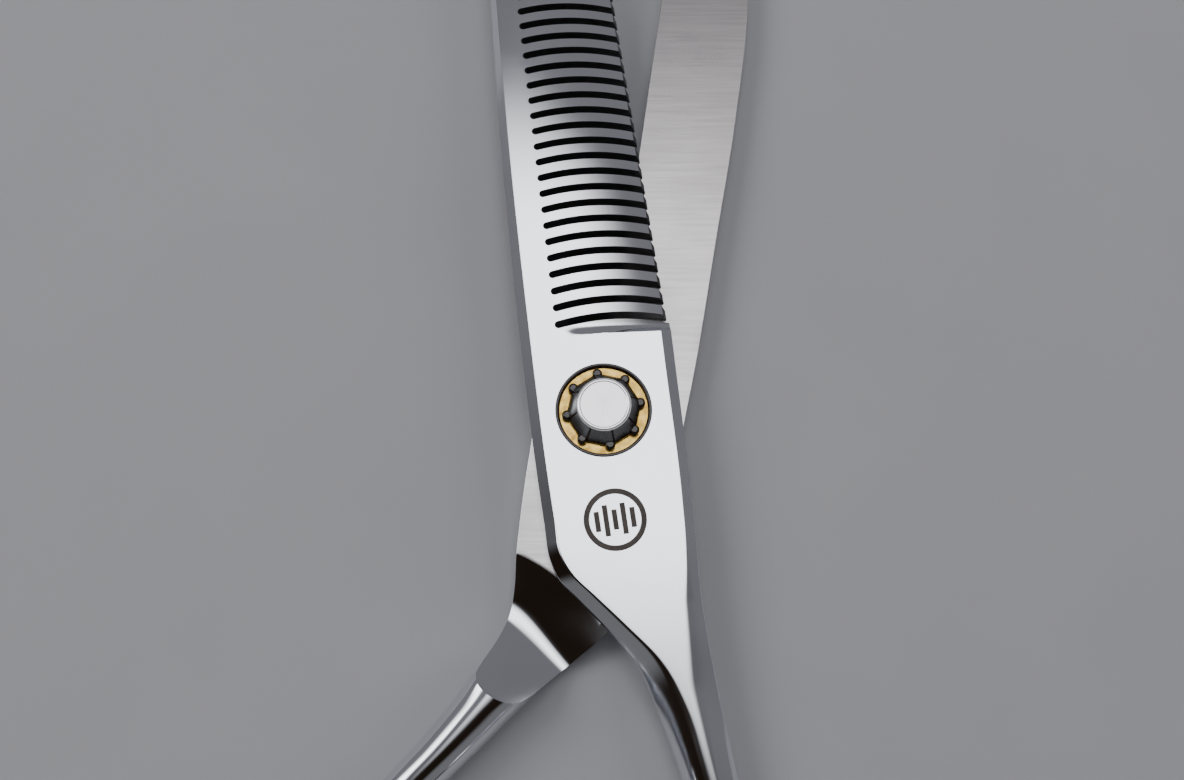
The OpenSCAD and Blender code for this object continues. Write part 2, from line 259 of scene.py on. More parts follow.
class Nodes:
    """A material, and short names for the nodes that it uses."""

    def __init__(self, name):
        self.material = bpy.data.materials.new(name)
        self.material.use_nodes = True
        self.tree = self.material.node_tree
        self.shader = self.tree.nodes["Principled BSDF"]

    def add(self, kind, **values):
        """New node, with its sockets or properties set by name."""
        node = self.tree.nodes.new(kind)
        for key, value in values.items():
            if key in node.inputs:
                node.inputs[key].default_value = value
            else:
                setattr(node, key, value)
        return node

    def link(self, a, b):
        self.tree.links.new(a, b)

    def coords(self, scale=(1, 1, 1), turn=0.0):
        """Object coordinates, turned about Z and scaled."""
        source = self.add("ShaderNodeTexCoord")
        mapping = self.add("ShaderNodeMapping")
        mapping.inputs["Scale"].default_value = scale
        mapping.inputs["Rotation"].default_value = (0, 0, turn)
        self.link(source.outputs["Object"], mapping.inputs["Vector"])
        return mapping.outputs["Vector"]

    def noise(self, scale, detail=3.0, rough=0.5, vector=None):
        node = self.add("ShaderNodeTexNoise")
        node.inputs["Scale"].default_value = scale
        node.inputs["Detail"].default_value = detail
        node.inputs["Roughness"].default_value = rough
        self.link(vector if vector is not None else self.coords(), node.inputs["Vector"])
        return node.outputs["Fac"]

    def spread(self, value, low, high):
        """Stretches the middle of a noise over the range from low to high."""
        node = self.add("ShaderNodeMapRange")
        node.inputs["From Min"].default_value = 0.3
        node.inputs["From Max"].default_value = 0.7
        node.inputs["To Min"].default_value = low
        node.inputs["To Max"].default_value = high
        self.link(value, node.inputs["Value"])
        return node.outputs["Result"]

    def blend(self, value, dark, light):
        """Colour between dark and light."""
        node = self.add("ShaderNodeMix", data_type="RGBA")
        node.inputs["A"].default_value = (*dark, 1)
        node.inputs["B"].default_value = (*light, 1)
        self.link(value, node.inputs["Factor"])
        return node.outputs["Result"]

    def bump(self, height, strength, distance):
        node = self.add("ShaderNodeBump")
        node.inputs["Strength"].default_value = strength
        node.inputs["Distance"].default_value = distance
        self.link(height, node.inputs["Height"])
        self.link(node.outputs["Normal"], self.shader.inputs["Normal"])


def steel(name, dark, light, rough, grain=None, turn=0.0, bump=0.02):
    """Metal with faint smears, and a ground grain where a grain is given as a scale per axis."""
    n = Nodes(name)
    n.shader.inputs["Metallic"].default_value = 1.0
    smear = n.noise(90, detail=4)
    fine = n.noise(1.0, detail=2, vector=n.coords(grain or EVEN_GRAIN, turn))
    colour = n.blend(n.spread(fine if grain else smear, 0, 1), dark, light)
    n.link(colour, n.shader.inputs["Base Color"])
    n.link(n.spread(smear, rough[0], rough[1]), n.shader.inputs["Roughness"])
    if bump:
        n.bump(fine, bump, 0.02 * MM)
    return n.material


def plastic(name, dark, light, rough, scale=900, bump=0.1, metallic=0.0):
    """Moulded or coated surface with a fine even grain."""
    n = Nodes(name)
    n.shader.inputs["Metallic"].default_value = metallic
    grain = n.noise(scale, detail=4)
    n.link(n.blend(n.spread(grain, 0, 1), dark, light), n.shader.inputs["Base Color"])
    n.link(n.spread(n.noise(scale / 6), rough[0], rough[1]), n.shader.inputs["Roughness"])
    n.bump(grain, bump, 0.03 * MM)
    return n.material


def turned_face(name, dark, light, rough):
    """Radially brushed disc: streaks that follow the angle about the pivot."""
    n = Nodes(name)
    n.shader.inputs["Metallic"].default_value = 1.0
    source = n.add("ShaderNodeTexCoord")
    split = n.add("ShaderNodeSeparateXYZ")
    n.link(source.outputs["Object"], split.inputs[0])
    angle = n.add("ShaderNodeMath", operation="ARCTAN2")
    n.link(split.outputs[1], angle.inputs[0])
    n.link(split.outputs[0], angle.inputs[1])
    streak = n.add("ShaderNodeTexNoise", noise_dimensions="1D")
    streak.inputs["Scale"].default_value = 34
    streak.inputs["Detail"].default_value = 5
    n.link(angle.outputs[0], streak.inputs["W"])
    n.link(n.blend(n.spread(streak.outputs["Fac"], 0, 1), dark, light), n.shader.inputs["Base Color"])
    n.link(n.spread(streak.outputs["Fac"], rough[0], rough[1]), n.shader.inputs["Roughness"])
    n.bump(streak.outputs["Fac"], 0.15, 0.02 * MM)
    return n.material


# Each material: name, darker colour, lighter colour, roughness from and to, then its own grain and bump
EVEN_GRAIN = (2600, 2600, 2600)
CROSS_GRAIN = dict(dark=(0.455, 0.435, 0.434), light=(0.55, 0.527, 0.525), rough=(0.24, 0.32),
                   grain=(160, 3200, 160), bump=0.05)
POLISHED = steel("polished_steel", (0.76, 0.775, 0.81), (0.82, 0.835, 0.87), (0.07, 0.13), bump=0.0)
RIDE_TOOTHED = steel("cross_ground_toothed", turn=-HALF_TURN, **CROSS_GRAIN)
RIDE_PLAIN = steel("cross_ground_plain", turn=HALF_TURN, **CROSS_GRAIN)
# The slot walls' near-black colour is painted shade for the dark inside of the slots between the teeth.
SLOT_SHADE = plastic("cutter_dark_steel", (0.03, 0.03, 0.033), (0.055, 0.055, 0.06), (0.4, 0.6), 1500, 0.1)
TURNED = steel("turned_steel", (0.6, 0.6, 0.61), (0.72, 0.72, 0.73), (0.2, 0.3), bump=0.03)
GOLD = steel("gold_brass", (0.3, 0.18, 0.04), (0.76, 0.51, 0.14), (0.18, 0.34),
             grain=(1100, 1100, 1100), bump=0.2)
BRONZE = steel("bronze", (0.55, 0.36, 0.18), (0.66, 0.45, 0.24), (0.3, 0.45), bump=0.05)
BLACK_COAT = plastic("black_coat", (0.012, 0.007, 0.004), (0.03, 0.018, 0.012), (0.12, 0.22), bump=0.03)
BLACK_DIAL = plastic("black_dial", (0.34, 0.34, 0.342), (0.42, 0.42, 0.422), (0.24, 0.32), 1600, 0.02,
                     metallic=1.0)
RUBBER = plastic("black_rubber", (0.018, 0.018, 0.018), (0.035, 0.034, 0.033), (0.6, 0.75), 1400, 0.3)
NYLON = plastic("white_nylon", (0.78, 0.78, 0.75), (0.88, 0.88, 0.85), (0.4, 0.55))
ETCH = plastic("etched_mark", (0.055, 0.044, 0.037), (0.09, 0.074, 0.064), (0.5, 0.65), 3000, 0.2)
CAP = turned_face("turned_cap", (0.72, 0.695, 0.725), (0.86, 0.84, 0.87), (0.2, 0.3))


def dress(obj, material, body, replaces=()):
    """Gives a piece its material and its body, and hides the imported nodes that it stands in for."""
    obj.data.materials.clear()
    obj.data.materials.append(material)
    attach(obj, body)
    if replaces:
        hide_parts(*replaces)
    return obj


# ---------------------------------------------------------------- the two forged halves

# Steps in each corner's arc of a section, and extra points on the flats between the corners
ARC = 8
FLATS = (10, 2, 1, 14, 1, 2)


def toward_oval(u, z, span, low, high, share, power=2.3):
    """Moves a section point towards the superellipse that fills the same box."""
    a, b = span / 2, (high - low) / 2
    cu, cz = (u - a) / a, (z - low - b) / b
    angle = math.atan2(cz, cu)
    c, s = math.cos(angle), math.sin(angle)
    r = (abs(c) ** power + abs(s) ** power) ** (-1 / power)
    return u + (a + a * r * c - u) * share, z + (low + b + b * r * s - z) * share


def half_section(left, right, low, high, chamfers, radii, oval_share=0.0):
    """One section between two plan points: a slab with chamfered upper corners and rounded corners.
    chamfers is (left width, left drop, right width, right drop)."""
    span = np.linalg.norm(right - left)
    across = (right - left) / span
    lw, ld, rw, rd = chamfers
    corners = [(0, low), (span, low), (span, high - rd), (span - rw, high), (lw, high), (0, high - ld)]
    outline = spread(rounded(corners, radii, ARC), ARC, FLATS)
    if oval_share > 0:
        outline = [toward_oval(u, z, span, low, high, oval_share) for u, z in outline]
    return [(left[0] + across[0] * u, left[1] + across[1] * u, z) for u, z in outline]


def ramp(value, start, end):
    """Smooth step from 0 at start to 1 at end."""
    t = min(1.0, max(0.0, (value - start) / (end - start)))
    return t * t * (3 - 2 * t)


def loft(name, sections, turn):
    """Solid through a row of sections."""
    points = [p for s in sections for p in s]
    return fix_normals(mesh_object(name, points, tube_faces(len(sections), len(sections[0])), turn))


def oval_ring(name, centre, hole_r, turn):
    """Finger or thumb ring with a rounded wall."""
    n = 48
    width_power, height_power = 0.8, 0.9
    profile = []
    for i in range(n):
        a = 2 * math.pi * i / n
        u = math.copysign(abs(math.cos(a)) ** width_power, math.cos(a))
        v = math.copysign(abs(math.sin(a)) ** height_power, math.sin(a))
        profile.append((hole_r + RING_W / 2 * (1 + u), HANDLE_T / 2 * (1 + v)))
    return lathe(name, profile, 160, centre, turn)


def bar(name, centre, r, z0, z1, steps=96, turn=0.0):
    """Round bar, for the bores and seats."""
    outline = [(centre[0] + r * math.cos(2 * math.pi * i / steps),
                centre[1] + r * math.sin(2 * math.pi * i / steps)) for i in range(steps)]
    return extruded(name, outline, z0, z1, turn)


def scoop_depth(d):
    """Height of a scoop against the riding side: a ramp down at +d, a tight hollow, then a wide one that
    steepens up to the shank at -d."""
    down, bend, rise = math.radians(18.5), math.radians(21), math.radians(42)
    tight_r, wide_r, ramp_l = 4.5, 22.0, 3.4
    high, low = tight_r * math.sin(down), -tight_r * math.sin(bend)
    if d > high:
        return (d - high - ramp_l) * math.tan(down)
    floor_z = -ramp_l * math.tan(down) - tight_r * (1 - math.cos(down))
    if d > low:
        return floor_z + tight_r - math.sqrt(tight_r ** 2 - d * d)
    foot_z = floor_z + tight_r * (1 - math.cos(bend))
    out = min(low - d, wide_r * (math.sin(rise) - math.sin(bend)))
    wide_x = wide_r * math.sin(bend) + out
    wide_z = foot_z + wide_r * math.cos(bend) - math.sqrt(wide_r ** 2 - wide_x ** 2)
    return wide_z + (low - d - out) * math.tan(rise)


def scoop_cutter(name, at, turn_deg, side_z, up, half_turn, bow=0.0):
    """Hollows the riding side where it rises into the shank. A bow bends the hollow back by that slope,
    and the bend dies out towards the riding face and down the shank. Every row of points has one height."""
    far, reach = 16.0, 11.0
    depths = np.concatenate([np.linspace(-13, -1.8, 36), np.linspace(-1.6, 1.4, 31), np.linspace(1.6, 7, 12)])
    acrosses = np.linspace(-reach, reach, 67)
    fine = np.linspace(-16, 10, 521)
    share = np.array([ramp(a, -11, 0.5) * (1 - 0.65 * ramp(a, 0, 5.5)) for a in fine])
    turn = math.radians(turn_deg)
    c, s = math.cos(turn), math.sin(turn)
    columns = [np.interp(depths, fine + share * bow * (math.hypot(SCOOP_EASE, across) - SCOOP_EASE), fine)
               for across in acrosses]
    points = []
    for i, d in enumerate(depths):
        z = side_z + up * scoop_depth(d)
        row = [(across, column[i], z) for across, column in zip(acrosses, columns)]
        row += [(row[-1][0], row[-1][1], side_z + up * far), (row[0][0], row[0][1], side_z + up * far)]
        points += [(at[0] + across * c - along * s, at[1] + across * s + along * c, z)
                   for across, along, z in row]
    return fix_normals(mesh_object(name, points, tube_faces(len(depths), len(acrosses) + 2), half_turn))


def grind_cutter(name, flat_x, edge_x, y0, drop, face_z, up, turn, ramp_l=1.0, skew=0.1, bite=0.12):
    """Solid outside the convex grind that falls from the flat to the cutting edge. A short ramp leads
    down to it from the boss and bites a little deeper at its foot, and its line leans by the skew."""
    width = abs(edge_x - flat_x)
    radius = (width * width + drop * drop) / (2 * drop)
    side = math.copysign(1, edge_x - flat_x)
    count, over, spare = 49, 1.12, 5
    runout, runout_w, recovery, bite_w, lead = 0.7, 1.6, 0.9, 2.5, 0.25
    quarters = (0.25, 0.5, 0.75, 1)
    points = []
    for i in range(count):
        u = width * over * i / (count - 1)
        x = flat_x + side * u
        start = y0 + lead - skew * u + runout * max(0.0, 1 - u / runout_w) ** 2
        ground = face_z - up * (radius - math.sqrt(radius * radius - u * u))
        dip = up * bite * ramp(u, 0, bite_w)
        steps = [(start + ramp_l * t, face_z + (ground - dip - face_z) * math.sin(math.pi / 2 * t))
                 for t in quarters]
        steps += [(start + ramp_l + recovery * t, ground - dip * (1 - ramp(t, 0, 1))) for t in quarters]
        end = BLADE_L + spare
        points += [(x, end, ground), (x, end, face_z + up * 2), (x, start, face_z + up * 2),
                   (x, start, face_z + up * 0.002), *[(x, y, z) for y, z in steps]]
    return fix_normals(mesh_object(name, points, tube_faces(count, 4 + len(steps)), turn))


def nose(t, reach):
    """Elliptic fall towards a tip: 0 at its start and the reach at its end."""
    return reach * (1 - math.sqrt(max(0.0, 1 - t * t)))


def nose_rows():
    """Rows that close up towards the tips and stop just short of them."""
    count, short = 24, 0.4
    return [NOSE_Y + NOSE_L * math.sin(math.pi / 2 * i / (count + short)) for i in range(1, count + 1)]


def toothed_sections():
    """Rows: y, left x, right x, left chamfer's width and drop, right chamfer's width and drop, and the
    radii at the face and at the base. The shank is round, and it flattens towards the boss."""
    rows = [
        (-56.0, 2.9, 11.4, 1.7, 2.2, 1.7, 2.2, 1.2, 1.7),
        (-54.2, 3.7, 9.9, 1.7, 2.2, 1.7, 2.2, 1.2, 1.7),
        (-51.5, 3.9, 8.8, 1.8, 2.2, 1.7, 2.1, 1.1, 1.7),
        (-44.0, 3.3, 8.0, 1.9, 2.3, 2.1, 1.8, 0.9, 1.7),
        (-36.0, 2.2, 7.44, 2.1, 2.5, 2.4, 1.5, 0.8, 1.7),
        (-30.0, 1.0, 7.05, 2.3, 2.4, 2.1, 1.3, 1.1, 1.4),
        (-25.0, -0.5, 6.8, 1.9, 1.6, 1.6, 1.1, 1.2, 0.5),
        (-21.5, -2.7, 6.72, 1.6, 1.25, 1.3, 1.02, 1.0, 0.08),
        (-18.2, -5.15, 6.8, 1.5, 1.1, 1.12, 1.0, 0.8, 0.05),
        (-16.0, -6.75, 6.95, 1.4, 1.05, 1.05, 1.0, 0.6, 0.04),
        (-14.2, -7.3, 7.1, 1.15, 1.0, 1.02, 1.0, 0.4, 0.04),
        (-10.0, -7.42, 7.35, 1.08, 1.0, 1.0, 1.0, 0.15, 0.04),
        (5.0, -7.41, 8.0, 1.05, 1.0, 1.1, 1.05, 0.07, 0.04),
        (8.0, -7.36, 8.12, 1.05, 1.0, 1.1, 1.05, 0.07, 0.04),
        (27.0, -6.77, 8.13, 0.9, 0.95, 1.1, 1.05, 0.07, 0.04),
        (54.0, -5.2, 8.13, 0.55, 0.8, 1.1, 1.05, 0.07, 0.04),
    ]
    table = np.array(rows)
    shank_y = -19.8
    ys = np.concatenate([
        np.linspace(-56, -28, 40), np.linspace(-27.5, -20, 22), np.linspace(-19.6, -13, 24),
        np.linspace(-12.5, 8, 12), np.linspace(10, 54, 23)])
    sections = []
    for y, row in zip(ys, hermite(table[:, 0], table[:, 1:], ys)):
        low = 0.0 if y < shank_y else TOOTH_RIDE
        lx, rx, lw, ld, rw, rd, face_r, base_r = row
        flatter = 0.86 + 0.14 * ramp(y, -14, -28)
        right_r = face_r + 3.0 * ramp(y, -16, -25)
        radii = (base_r, base_r, 0.3 * face_r, right_r, face_r, 0.3 * face_r)
        sections.append(half_section(np.array([lx, y]), np.array([rx, y]), low, TOP_Z,
                                     (lw, ld * flatter, rw, rd * flatter), radii, 0.8 * ramp(y, -23, -38)))
    end_left, end_slope, round_y = table[-1, 1], 0.06, 62.6
    for y in nose_rows():
        left = end_left + end_slope * (y - NOSE_Y) + nose((y - NOSE_Y) / NOSE_L, 8.6)
        right = TOOTH_X - (nose((y - round_y) / (BLADE_L - round_y), 3.9) if y > round_y else 0)
        sections.append(half_section(np.array([left, y]), np.array([right, y]), TOOTH_RIDE, TOP_Z,
                                     (min(0.55, 0.2 * (right - left)), 0.69, 0.1, 0.3), (0.04,) * 6))
    return sections


def mirrored(section, z_sum):
    """The same section upside down between 0 and z_sum."""
    return [(x, y, z_sum - z) for x, y, z in section]


def plain_sections():
    """Rows: left point, right point, then the chamfers and radii as on the toothed half. They are those of
    the outer face, which is the lower one, so each section is turned upside down."""
    rows = [
        (-22.5, -48.9, -14.2, -49.4, 1.7, 2.2, 1.7, 2.2, 1.2, 1.7),
        (-20.9, -47.3, -15.2, -48.0, 1.7, 2.2, 1.7, 2.2, 1.2, 1.7),
        (-19.6, -45.0, -15.6, -46.4, 1.7, 2.2, 1.7, 2.2, 1.1, 1.7),
        (-17.3, -40.7, -13.6, -42.8, 1.6, 2.2, 1.6, 2.2, 1.0, 1.8),
        (-14.9, -37.0, -11.1, -39.2, 1.5, 2.2, 1.5, 2.2, 0.9, 1.9),
        (-12.6, -33.7, -8.6, -36.0, 1.5, 2.0, 1.5, 2.0, 0.9, 1.9),
        (-10.7, -30.6, -6.3, -33.0, 1.4, 1.8, 1.5, 1.9, 0.9, 1.8),
        (-9.3, -28.1, -4.2, -30.2, 1.3, 1.5, 1.4, 1.6, 0.8, 1.3),
        (-7.9, -25.5, -1.9, -27.3, 1.2, 1.2, 1.3, 1.3, 0.6, 0.6),
        (-6.9, -23.0, 0.5, -24.6, 1.1, 1.0, 1.1, 1.0, 0.4, 0.2),
        (-6.4, -21.0, 2.6, -22.4, 1.0, 1.0, 1.0, 1.0, 0.2, 0.2),
        (-6.3, -18.6, 4.6, -19.6, 1.0, 1.0, 1.0, 1.0, 0.1, 0.1),
        (-6.6, -15.0, 6.2, -15.4, 1.0, 1.0, 1.0, 1.0, 0.07, 0.04),
        (-6.88, -8.0, 7.6, -8.0, 1.0, 1.0, 1.0, 1.0, 0.07, 0.04),
        (-6.9, -3.0, 8.1, -3.0, 1.0, 1.0, 1.0, 1.0, 0.07, 0.04),
    ]
    table = np.array(rows)
    middle = (table[:, 0:2] + table[:, 2:4]) / 2
    length = np.concatenate([[0], np.cumsum(np.linalg.norm(np.diff(middle, axis=0), axis=1))])
    at = np.linspace(0, length[-1], 110)
    shank_y = -20.4
    sections = []
    for s, row in zip(at, hermite(length, table, at)):
        left, right = row[0:2], row[2:4]
        lw, ld, rw, rd, face_r, base_r = row[4:]
        y = (left[1] + right[1]) / 2
        high = HANDLE_T if y < shank_y else PLAIN_RIDE
        radii = (base_r, base_r, 0.3 * face_r, face_r, face_r, 0.3 * face_r)
        section = half_section(left, right, 0.0, high, (lw, ld, rw, rd), radii, ramp(y, -24, -31))
        sections.append(mirrored(section, high))
    # from the boss to the nose: y, left x, right x
    blade = np.array([
        (-3.0, -6.9, 8.1), (1.0, -6.5, 8.28), (4.0, -5.0, 8.48), (7.0, -2.4, 8.66), (9.5, -0.75, 8.78),
        (11.5, PLAIN_X, 8.85), (20.0, PLAIN_X, 9.1), (36.0, PLAIN_X, 9.6), (50.0, PLAIN_X, 9.35),
        (NOSE_Y, PLAIN_X, 8.9)])
    ys = np.concatenate([np.linspace(-2.6, 12, 28), np.linspace(14, NOSE_Y, 21)])
    for y, (lx, rx) in zip(ys, hermite(blade[:, 0], blade[:, 1:], ys)):
        inner = 1.0 if y < 10 else 0.3
        section = half_section(np.array([lx, y]), np.array([rx, y]), 0.0, PLAIN_RIDE,
                               (inner, inner, 1.0, 1.0), (0.04,) * 2 + (0.07,) * 4)
        sections.append(mirrored(section, PLAIN_RIDE))
    end_right, end_slope, round_y, least_w = blade[-1, 2], 0.11, 63, 0.12
    for y in nose_rows():
        right = end_right - end_slope * (y - NOSE_Y) - nose((y - NOSE_Y) / NOSE_L, 7.0)
        left = PLAIN_X + (nose((y - round_y) / (BLADE_L - round_y), 0.6) if y > round_y else 0)
        width = max(right - left, least_w)
        section = half_section(np.array([left, y]), np.array([left + width, y]), 0.0, PLAIN_RIDE,
                               (0.2 * width, 0.3, 0.25 * width, 0.8), (0.04,) * 6)
        sections.append(mirrored(section, PLAIN_RIDE))
    return sections


def tooth_slots():
    """Cutters for the slots: round inner ends, a slight bow, and open past the tips."""
    bow_r, bow_x, taper = 28.0, 1.2, 1.16
    cutters = []

    def path(x, y):
        """Middle line of the slot at y."""
        return y - bow_r + math.sqrt(bow_r ** 2 - (x - bow_x) ** 2)

    for i in range(SLOTS):
        x0, y = SLOT_X + taper * i / (SLOTS - 1), SLOT_Y + i * SLOT_PITCH
        along = np.linspace(x0, TOOTH_X + 1, 25)
        end = [(x0 + SLOT_W / 2 * math.cos(a), path(x0, y) + SLOT_W / 2 * math.sin(a))
               for a in np.linspace(math.pi / 2, 3 * math.pi / 2, 13)]
        lower = [(x, path(x, y) - SLOT_W / 2) for x in along[1:]]
        upper = [(x, path(x, y) + SLOT_W / 2) for x in along[:0:-1]]
        cutters.append(extruded("slot", end + lower + upper, TOOTH_RIDE - 1, TOP_Z + 1, HALF_TURN))
    return joined("slots", cutters)


def tooth_tips():
    """Cutter that leans the ends of the teeth back from the riding face."""
    top_x = TOOTH_X - TIP_LEAN * (TOP_Z - TOOTH_RIDE) / (TOP_Z - TOOTH_DROP - TOOTH_RIDE)
    foot = (TOOTH_X - 0.02, TOOTH_RIDE - 0.2)
    section = [foot, (TOOTH_X + 2, foot[1]), (TOOTH_X + 2, TOP_Z + 0.5), (top_x, TOP_Z)]
    points = [(x, y, z) for y in (GRIND_Y + SLOT_PITCH / 2, BLADE_L + 3) for x, z in section]
    return fix_normals(mesh_object("tips", points, tube_faces(2, 4), HALF_TURN))


def toothed_half():
    """Blade with teeth, boss, shank and finger ring, forged in one."""
    centre = to_own(mounts["finger_hole"]["pos_m"], HALF_TURN)
    hole_r = mounts["finger_hole"]["dims"]["r_mm"]
    half = loft("toothed_forging", toothed_sections(), HALF_TURN)
    boolean(half, oval_ring("ring", centre, hole_r, HALF_TURN), "UNION")
    boolean(half, bar("hole", centre, hole_r + 0.02, -1, HANDLE_T + 1, 160, HALF_TURN), "DIFFERENCE")
    grind = grind_cutter("grind", GRIND_X, TOOTH_X, GRIND_Y, TOOTH_DROP, TOP_Z, 1, HALF_TURN)
    boolean(half, grind, "DIFFERENCE")
    boolean(half, tooth_tips(), "DIFFERENCE")
    boolean(half, tooth_slots(), "DIFFERENCE")
    boolean(half, scoop_cutter("scoop", (2.4, -22.2), 12, TOOTH_RIDE, -1, HALF_TURN), "DIFFERENCE")
    boolean(half, bar("seat", (0, 0), BEZEL_R, BEZEL_FLOOR, TOP_Z + 1), "DIFFERENCE")
    boolean(half, bar("bore", (0, 0), BUSH_R, 0, TOP_Z), "DIFFERENCE")
    finish_surface(half)
    dress(half, POLISHED, "toothed_side", ["toothed_half"])
    paint_ride(half, TOOTH_RIDE, HALF_TURN)
    paint_slot_shade(half)
    return half


def plain_half():
    """Plain blade, boss, shank and thumb ring, forged in one."""
    centre = to_own(mounts["thumb_hole"]["pos_m"], -HALF_TURN)
    hole_r = mounts["thumb_hole"]["dims"]["r_mm"]
    half = loft("plain_forging", plain_sections(), -HALF_TURN)
    boolean(half, oval_ring("ring", centre, hole_r, -HALF_TURN), "UNION")
    boolean(half, bar("hole", centre, hole_r + 0.02, -1, HANDLE_T + 1, 160, -HALF_TURN), "DIFFERENCE")
    grind = grind_cutter("grind", PLAIN_GRIND_X, PLAIN_X, PLAIN_GRIND_Y, PLAIN_DROP, 0.0, -1, -HALF_TURN,
                         skew=0.0, bite=0.0)
    boolean(half, grind, "DIFFERENCE")
    scoop = scoop_cutter("scoop", (-6.4, -20.2), -21.4, PLAIN_RIDE, 1, -HALF_TURN, SCOOP_BOW)
    boolean(half, scoop, "DIFFERENCE")
    boolean(half, bar("head_seat", (0, 0), HEAD_R, -1, HEAD_T), "DIFFERENCE")
    boolean(half, bar("washer_seat", (0, 0), WASHER_R, PLAIN_RIDE - WASHER_T, PLAIN_RIDE + 1), "DIFFERENCE")
    boolean(half, bar("bore", (0, 0), BOLT_R, 0, TOP_Z), "DIFFERENCE")
    finish_surface(half)
    dress(half, POLISHED, "plain_side", ["plain_half"])
    paint_ride(half, PLAIN_RIDE, -HALF_TURN)
    return half


def paint_slot_shade(half):
    """Walls between the teeth are painted near-black: painted shade for the dark inside of the slots."""
    half.data.materials.append(SLOT_SHADE)
    for face in half.data.polygons:
        x, y = to_own(face.center, HALF_TURN)
        beside_slots = y > SLOT_Y - SLOT_W / 2 - 0.2 and x > SLOT_X - SLOT_W / 2 - 0.14
        if beside_slots and abs(face.normal.z) < 0.5:
            face.material_index = 2


def paint_ride(half, ride_z, turn):
    """The flat riding face, above the scoop, takes the ground finish, whose grain crosses the blade."""
    half.data.materials.append(RIDE_TOOTHED if turn > 0 else RIDE_PLAIN)
    for face in half.data.polygons:
        if abs(face.center.z / MM - ride_z) < 0.02 and abs(face.normal.z) > 0.99:
            face.material_index = 1


# ---------------------------------------------------------------- the tension dial

def soft_profile(corners, radii, arc=6):
    """Profile for a turned piece, with rounded corners."""
    return [tuple(p) for p in rounded(corners, radii, arc)]


def bezel_cup():
    """Black cup around the dial, with a soft rim."""
    wall, floor_z = 0.35, BEZEL_FLOOR + 0.3
    cup = lathe("bezel_cup", soft_profile(
        [(BUSH_R, BEZEL_FLOOR), (BEZEL_R, BEZEL_FLOOR), (BEZEL_R, BEZEL_TOP), (BEZEL_R - wall, BEZEL_TOP),
         (BEZEL_R - wall, floor_z), (BUSH_R, floor_z)], (0.02, 0.02, 0.1, 0.16, 0.02, 0.02)), 128)
    finish_surface(cup, 40)
    dress(cup, BLACK_COAT, "toothed_side", ["dial_bezel"])


def dial_knob():
    """Faceted cone with a small round-topped lobe standing at every corner of its skirt. The lobes and
    the skirt are black, and the cone is duller and paler."""
    lobes, per_lobe, corner_r, brow = 8, 12, 3.82, NUT_BASE + 0.55
    around = lobes * per_lobe
    lobe_r, lobe_out, lobe_top = 0.5, 3.72, NUT_BASE + 0.85
    first, step = math.radians(100), 2 * math.pi / lobes
    rows = [(corner_r - 0.06, NUT_BASE), (corner_r, NUT_BASE + 0.06), (corner_r, brow - 0.12),
            (corner_r - 0.03, brow - 0.03), (corner_r - 0.1, brow + 0.06), (CAP_R + 0.16, DIAL_TOP - 0.2),
            (CAP_R + 0.1, DIAL_TOP - 0.13), (CAP_R + 0.01, DIAL_TOP - 0.12),
            (CAP_R + 0.01, DIAL_TOP - CAP_T)]
    points = []
    for r, z in rows:
        share = max(0.0, min(1.0, (r - CAP_R - 0.1) / (corner_r - CAP_R - 0.1)))
        for j in range(around):
            a = 2 * math.pi * j / around
            off = (a - first) % step - step / 2
            out = r * (1 - share * (1 - math.cos(step / 2) / math.cos(off)))
            points.append((out * math.cos(a), out * math.sin(a), z))
    knob = fix_normals(mesh_object("dial_knob", points, tube_faces(len(rows), around)))
    foot = NUT_BASE + 0.02
    profile = soft_profile([(0.0, foot), (lobe_r, foot), (lobe_r, lobe_top), (0.0, lobe_top)],
                           (0, 0.03, 0.46, 0), 12)
    spots = [(lobe_out * math.cos(first + i * step), lobe_out * math.sin(first + i * step))
             for i in range(lobes)]
    boolean(knob, joined("lobes", [lathe("lobe", profile, 32, spot) for spot in spots]), "UNION")
    finish_surface(knob, 38)
    dress(knob, BLACK_DIAL, "tension_dial", ["dial_nut"])
    knob.data.materials.append(BLACK_COAT)
    for face in knob.data.polygons:
        if Vector(face.center.xy).length > (corner_r - 0.4) * MM:
            face.material_index = 1


def cap_disc():
    """Turned cap with a fine raised rim."""
    face = DIAL_TOP - 0.05
    cap = lathe("cap_disc", soft_profile(
        [(0.0, DIAL_TOP - CAP_T), (CAP_R, DIAL_TOP - CAP_T), (CAP_R, DIAL_TOP - 0.03),
         (CAP_R - 0.08, DIAL_TOP), (CAP_R - 0.2, DIAL_TOP), (CAP_R - 0.28, face), (0.0, face)],
        (0, 0.02, 0.03, 0.03, 0.03, 0.03, 0), 5), 128)
    finish_surface(cap, 40)
    dress(cap, CAP, "tension_dial", ["dial_cap"])


# ---------------------------------------------------------------- finger rest, bumper and etched mark

def lay_along(obj, centre, distance, angle, turn):
    """Lays a solid that was built up the Z axis along a radius of a ring, and turns it with its half."""
    middle = Matrix.Translation((centre[0] * MM, centre[1] * MM, HANDLE_T / 2 * MM))
    out = Matrix.Rotation(angle, 4, "Z") @ Matrix.Translation((distance * MM, 0, 0))
    lying = Matrix.Rotation(math.pi / 2, 4, "Y")
    obj.data.transform(Matrix.Rotation(turn, 4, "Z") @ middle @ out @ lying)
    return fix_normals(obj)


